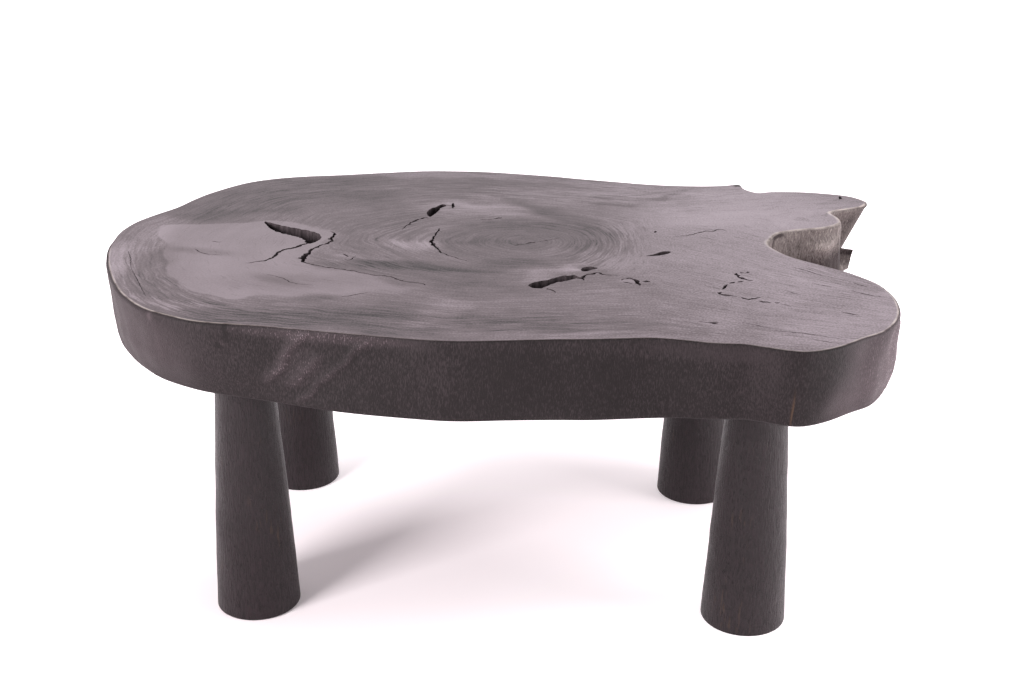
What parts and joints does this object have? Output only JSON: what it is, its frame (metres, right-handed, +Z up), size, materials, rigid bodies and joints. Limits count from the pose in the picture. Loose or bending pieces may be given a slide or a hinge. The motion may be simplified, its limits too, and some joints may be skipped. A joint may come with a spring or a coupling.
{
  "type": "live edge coffee table",
  "caption": "Low coffee table: a thick dark wood slab with a natural live edge, notch and voids, on turned legs that taper up from wide feet and screw into the underside.",
  "frame": {"origin": "on the floor, under the middle of the table's bounding box", "axes": "+X along the slab towards the horn at its right end, +Y from the front edge to the back edge, +Z up"},
  "size_m": [1.036, 0.7122, 0.44],
  "materials": {
    "slab_wood": "dark stained and waxed, satin, fine growth rings and open checks",
    "leg_wood": "dark stained and waxed, satin, straight grain",
    "bolt_steel": "zinc plated",
    "insert_brass": "turned"
  },
  "bodies": {
    "root": {"slab_top": "slab_wood", "leg_front_left": "leg_wood", "leg_front_right": "leg_wood", "leg_back_left": "leg_wood", "leg_back_right": "leg_wood", "hanger_bolt_front_left": "bolt_steel", "hanger_bolt_front_right": "bolt_steel", "hanger_bolt_back_left": "bolt_steel", "hanger_bolt_back_right": "bolt_steel", "threaded_insert_front_left": "insert_brass", "threaded_insert_front_right": "insert_brass", "threaded_insert_back_left": "insert_brass", "threaded_insert_back_right": "insert_brass"}
  },
  "joints": []
}
